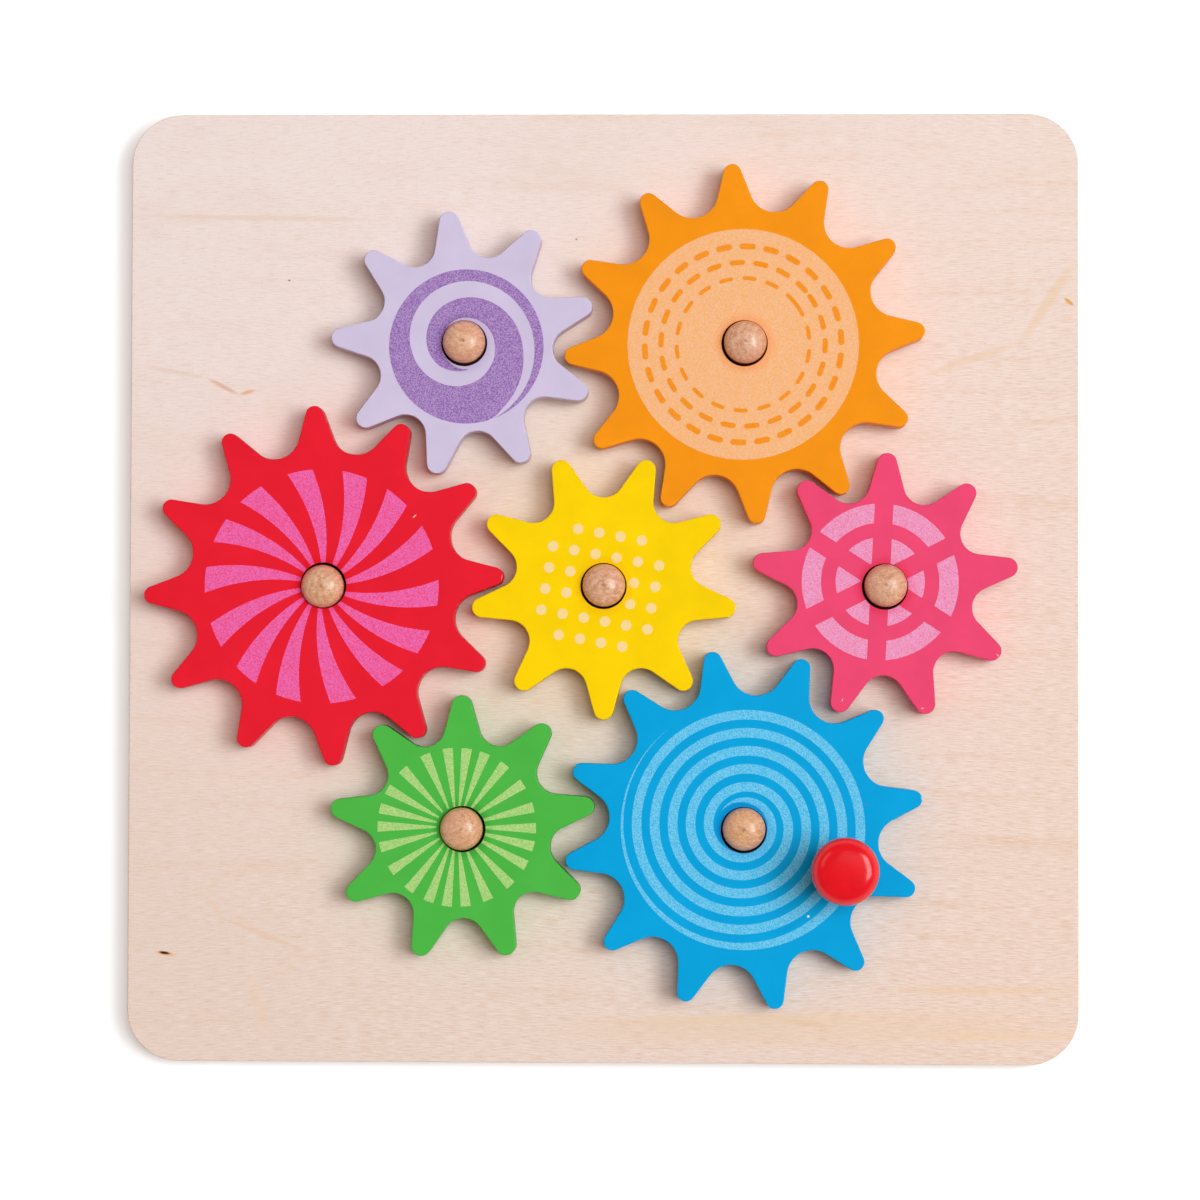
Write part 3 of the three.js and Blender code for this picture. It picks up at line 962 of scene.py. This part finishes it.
def beechMaterial():
    plan = pegPlan
    material, tree, shader = startMaterial("turnedBeech", plan)
    point = term(tree, "ShaderNodeAttribute", output="Vector", attribute_name="grain")
    reach = term(tree, "ShaderNodeAttribute", output="Fac", attribute_name="reach")
    blotch = noise(point, 2.0, 4.0, 0.65)
    colour = mixed(tree, remap(blotch, 0.36, 0.62), shade(plan["mid"]), shade(plan["pale"]))
    # some pegs are yellower and some pinker
    cast = noise(point, 34.0, 0.0)
    colour = tinted(colour, remap(cast, 0.5, 0.66, 0.0, 0.4), plan["yellow"])
    colour = tinted(colour, remap(cast, 0.5, 0.36, 0.0, 0.4), plan["pink"])
    # painted shade: the head is darker towards its edge, where the dome turns away from the light
    colour = tinted(colour, remap(reach, 3.0, 6.7, 0.0, 0.6, smooth=True), plan["rim"])
    # growth rings cut across, then the pores as short dark flecks
    rings = term(tree, "ShaderNodeTexWave", {
        "Vector": point, "Scale": 0.16, "Distortion": 7.0, "Detail": 3.0, "Detail Scale": 1.2,
    }, output="Fac", wave_type="RINGS", rings_direction="Z")
    colour = tinted(colour, remap(rings, 0.5, 0.95, 0.0, 0.18), plan["rim"], 0.85)
    colour = tinted(colour, remap(rings, 0.3, 0.05, 0.0, 0.2), plan["pale"], 1.08)
    pores = noise(mapped(point, (1.0, 1.8, 0.5)), 0.46, 3.0, 0.7)
    colour = tinted(colour, remap(pores, 0.52, 0.66, 0.0, 0.5), plan["dark"])
    colour = tinted(colour, remap(pores, 0.48, 0.34, 0.0, 0.5), plan["pale"], 1.12)
    rays = noise(mapped(point, (0.25, 1.2, 0.4)), 0.9, 2.0, 0.6)
    colour = tinted(colour, remap(rays, 0.6, 0.7, 0.0, 0.5), plan["pale"], 1.15)
    pith = remap(reach + (blotch - 0.5) * 2, 0.25, 0.75, 0.55, 0.0)
    colour = tinted(colour, pith, plan["dark"])
    dress(shader, colour, remap(blotch, 0.3, 0.7, *plan["roughnessDrift"]))
    bumped(shader, pores, 0.04, 0.35)
    return material


def markGrain(mesh, centre, shift):
    # each peg's own grain coordinates, and each point's distance from the peg's axis
    mesh.attributes.new("grain", "FLOAT_VECTOR", "POINT")
    mesh.attributes.new("reach", "FLOAT", "POINT")
    grain = mesh.attributes["grain"].data
    reach = mesh.attributes["reach"].data
    for vertex, place, away in zip(mesh.vertices, grain, reach):
        place.vector = vertex.co - centre + Vector(shift)
        away.value = (vertex.co - centre).xy.length


def makePegs():
    plan = pegPlan
    beech = beechMaterial()
    draw = random.Random(plan["seed"])
    shank = plan["shankRadius"]
    bottom = plan["headBottom"]
    ease = plan["ease"]
    for cog in cogs:
        colour = cog.replace("_cog", "")
        low, high = nodeBox(colour + "_axle_peg")
        head = (high.x - low.x) / 2
        rise = (high.z - bottom) * plan["domeShare"]
        profile = [(0, low.z), (shank - ease, low.z), (shank, low.z + ease), (shank, bottom),
                   (head - ease, bottom), (head, bottom + ease)]
        profile += arc((0, high.z - rise), (head, rise), 0, 90, plan["domeSteps"])[:-1]
        mesh = revolve([*profile, (0, high.z)], plan["sides"], axles[cog], beech)
        shift = Vector((*plan["headShift"][colour], 0))
        for vertex in mesh.vertices:
            if vertex.co.z > bottom + ease / 2:
                vertex.co += shift
        centre = axles[cog].xy.to_3d() + shift
        markGrain(mesh, centre, (draw.uniform(-9, 9), draw.uniform(-9, 9), draw.uniform(0, 400)))
        addPiece(colour + "Peg", smoothed(mesh), "board", "beech", colour + "_axle_peg")
    print("axle pegs turned")


# Spacers of pressed board under the cogs
spacerPlan = {"bore": 4.4, "ease": 0.15, "sides": 64, "tone": (107, 74, 53), "roughness": 0.75}


def hardboardMaterial():
    material, tree, shader = startMaterial("pressedBoard", spacerPlan)
    fibres = noise(localPoint(tree), 0.5, 5.0, 0.75)
    dress(shader, drifted(tree, fibres, spacerPlan["tone"], 0.8, 1.25))
    bumped(shader, fibres, 0.08, 0.7)
    return material


def makeSpacers():
    plan = spacerPlan
    finish = hardboardMaterial()
    ease = plan["ease"]
    for cog in cogs:
        colour = cog.replace("_cog", "")
        low, high = nodeBox(colour + "_spacer")
        rim = (high.x - low.x) / 2
        profile = [(plan["bore"], low.z), (rim - ease, low.z), (rim, low.z + ease),
                   (rim, high.z - ease), (rim - ease, high.z), (plan["bore"], high.z)]
        mesh = revolve(profile, plan["sides"], axles[cog], finish)
        addPiece(colour + "Spacer", smoothed(mesh), "board", "hardboard", colour + "_spacer")
    print("spacers cut")


# Crank knob: turned, dipped in gloss red, and free to spin on its screw
knobPlan = {
    "footRadius": 7, "neckRadius": 5.8, "neckShare": 0.36, "middleShare": 0.755, "roundness": 0.6,
    "ease": 0.5, "sides": 96, "steps": 24, "pilotRadius": 2.55, "pilotDepth": 13, "pilotSpare": 1.2,
    "centreRadius": 1.7, "tone": (237, 23, 34), "worn": (246, 84, 84), "peel": 0.9,
    "roughness": 0.4, "specular": 0.0, "coat": 1.0, "coatRoughness": 0.14,
}


def glossMaterial():
    plan = knobPlan
    material, tree, shader = startMaterial("redLacquer", plan)
    point = localPoint(tree, axles["crank_knob"])
    tone = drifted(tree, noise(point, 4.0, 2.0, 0.5), plan["tone"], 0.93, 1.03)
    # the lathe's centre mark is still felt through the lacquer
    centre = remap(fromAxis(point), plan["centreRadius"] * 0.6, plan["centreRadius"], 1.0, 0.0)
    scratches = noise(mapped(point, (1.0, 0.4, 1.0), 35), 0.4, 3.0, 0.7)
    dress(shader, tinted(tone, remap(scratches, 0.55, 0.75, 0.0, 0.5) * centre, plan["worn"]))
    peel = noise(point, plan["peel"], 3.0, 0.6)
    bumped(shader, peel * 0.7 + scratches * centre, 0.035, 0.6)
    return material


def makeKnob():
    plan = knobPlan
    low, high = nodeBox("crank_knob")
    bottom = low.z
    top = high.z
    head = (high.x - low.x) / 2
    foot = plan["footRadius"]
    neck = plan["neckRadius"]
    ease = plan["ease"]
    pilot = plan["pilotRadius"]
    neckLevel = bottom + (top - bottom) * plan["neckShare"]
    middle = bottom + (top - bottom) * plan["middleShare"]
    cove = arc((foot, neckLevel), (foot - neck, neckLevel - bottom - ease), 270, 180, plan["steps"] // 2)
    under = arc((neck, middle), (head - neck, neckLevel - middle), 90, 0, plan["steps"])
    cap = arc((0, middle), (head, top - middle), 0, 90, plan["steps"], plan["roundness"])
    profile = [(0, bottom + plan["pilotDepth"] + plan["pilotSpare"]), (pilot, bottom + plan["pilotDepth"]),
               (pilot, bottom), (foot - ease, bottom), *cove, *under[1:], *cap[1:-1], (0, top)]
    mesh = revolve(profile, plan["sides"], axles["crank_knob"], glossMaterial())
    addPiece("knob", smoothed(mesh, 50), "crank_knob", "red_gloss", "crank_knob")
    print("knob turned")


# Screw and washer, zinc plated
steelPlan = {"tone": (186, 190, 196), "metallic": 1.0, "roughnessDrift": (0.25, 0.45)}


def steelMaterial():
    material, tree, shader = startMaterial("zincPlate", steelPlan)
    cloud = noise(localPoint(tree), 1.2, 4.0, 0.6)
    tone = drifted(tree, cloud, steelPlan["tone"], 0.85, 1.0)
    dress(shader, tone, remap(cloud, 0.3, 0.7, *steelPlan["roughnessDrift"]))
    bumped(shader, cloud, 0.02, 0.4)
    return material


def dressFastenings():
    steel = steelMaterial()
    for node in ("knob_screw", "knob_washer"):
        frame["nodes"][node].data.materials.clear()
        frame["nodes"][node].data.materials.append(steel)
    print("screw and washer plated")


# Studio: floor, lamps, world and camera. Sizes here are in metres.
studio = {
    "target": (0.0, 0.0, 0.02),
    "lamps": {
        "sideBox": {"azimuth": 7, "elevation": 57, "away": 4.0, "wide": 2.2, "tall": 1.2, "power": 45.0},
        "tallBox": {"azimuth": 4, "elevation": 58, "away": 4.0, "wide": 2.0, "tall": 2.4, "power": 62.0},
        "farBox": {"azimuth": 150, "elevation": 58, "away": 4.0, "wide": 1.6, "tall": 1.0, "power": 5.0},
        "overhead": {"azimuth": 45, "elevation": 79, "away": 3.0, "wide": 0.9, "tall": 0.9, "power": 22.0},
    },
    "matte": ("tallBox", "overhead"),  # these leave no highlight
    "lampTint": (0.9, 1.0, 1.045), "ambient": 0.29, "bounce": (1.0, 0.7, 0.57),
    "horizon": 0.3, "overheadFrom": 0.65, "zenith": 0.03,
    "floorSide": 6.0, "floorTone": 0.88, "floorGlow": 0.27,
}

photoCamera = {
    "location": (0.0322465, -0.0363513, 1.2),
    "turn": (1.5555, 1.5852, 0.1611),  # degrees about X, Y and Z
    "lens": 113.1246, "sensor": 36,
}


def addLamp(name, plan):
    azimuth = math.radians(plan["azimuth"])
    elevation = math.radians(plan["elevation"])
    level = math.cos(elevation)
    heading = Vector((level * math.cos(azimuth), level * math.sin(azimuth), math.sin(elevation)))
    away = heading * plan["away"]
    lamp = bpy.data.lights.new(name, "AREA")
    lamp.shape = "RECTANGLE"
    lamp.size = plan["wide"]
    lamp.size_y = plan["tall"]
    lamp.energy = plan["power"]
    lamp.color = studio["lampTint"]
    holder = newObject(name, lamp)
    holder.location = Vector(studio["target"]) + away
    holder.rotation_euler = (-away).to_track_quat("-Z", "Y").to_euler()
    holder.visible_glossy = name not in studio["matte"]


def seenDirectly(tree):
    # one for what the camera sees, also in a mirror or through glass
    path = addNode(tree, "ShaderNodeLightPath").outputs
    camera, glossy, clear = (
        Term(tree, path[name]) for name in ("Is Camera Ray", "Is Glossy Ray", "Is Transmission Ray"))
    return greatest(camera, greatest(glossy, clear))


def floorMaterial():
    # takes the toy's shadow, and its glow is only seen directly
    material = bpy.data.materials.new("paleFloor")
    material.use_nodes = True
    tree = material.node_tree
    tree.nodes.clear()
    diffuse = term(tree, "ShaderNodeBsdfDiffuse", {"Color": (*(studio["floorTone"],) * 3, 1.0)})
    glow = term(tree, "ShaderNodeEmission", {"Strength": seenDirectly(tree) * studio["floorGlow"]})
    both = term(tree, "ShaderNodeAddShader", {0: diffuse, 1: glow})
    addNode(tree, "ShaderNodeOutputMaterial", {"Surface": both})
    return material


def makeWorld():
    # seen directly it is a white backdrop that darkens overhead, and it adds a little even light
    world = bpy.data.worlds.new("studio")
    world.use_nodes = True
    tree = world.node_tree
    height = parts(term(tree, "ShaderNodeTexCoord", output="Generated"))[2]
    backdrop = remap(height, studio["horizon"], studio["overheadFrom"], 1.0, studio["zenith"])
    direct = seenDirectly(tree)
    strength = (backdrop - studio["ambient"]) * direct + studio["ambient"]
    colour = mixed(tree, direct, (*studio["bounce"], 1.0), (1.0, 1.0, 1.0, 1.0))
    background = tree.nodes["Background"].inputs
    tree.links.new(colour.socket, background["Color"])
    tree.links.new(strength.socket, background["Strength"])
    bpy.context.scene.world = world


def makeStudio():
    half = studio["floorSide"] / 2
    mesh = bpy.data.meshes.new("floor")
    corners = [(-half, -half, 0.0), (half, -half, 0.0), (half, half, 0.0), (-half, half, 0.0)]
    mesh.from_pydata(corners, [], [(0, 1, 2, 3)])
    mesh.materials.append(floorMaterial())
    newObject("floor", mesh)
    for name, plan in studio["lamps"].items():
        addLamp(name, plan)
    makeWorld()
    lens = bpy.data.cameras.new("photoCamera")
    lens.lens = photoCamera["lens"]
    lens.sensor_width = photoCamera["sensor"]
    holder = newObject("photoCamera", lens)
    holder.location = photoCamera["location"]
    holder.rotation_euler = [math.radians(value) for value in photoCamera["turn"]]
    bpy.context.scene.camera = holder
    bpy.context.scene.view_settings.view_transform = "Standard"
    print("studio ready")


makeStudio()
makeBoard()
makeCogs()
makePrints()
makePegs()
makeSpacers()
makeKnob()
dressFastenings()
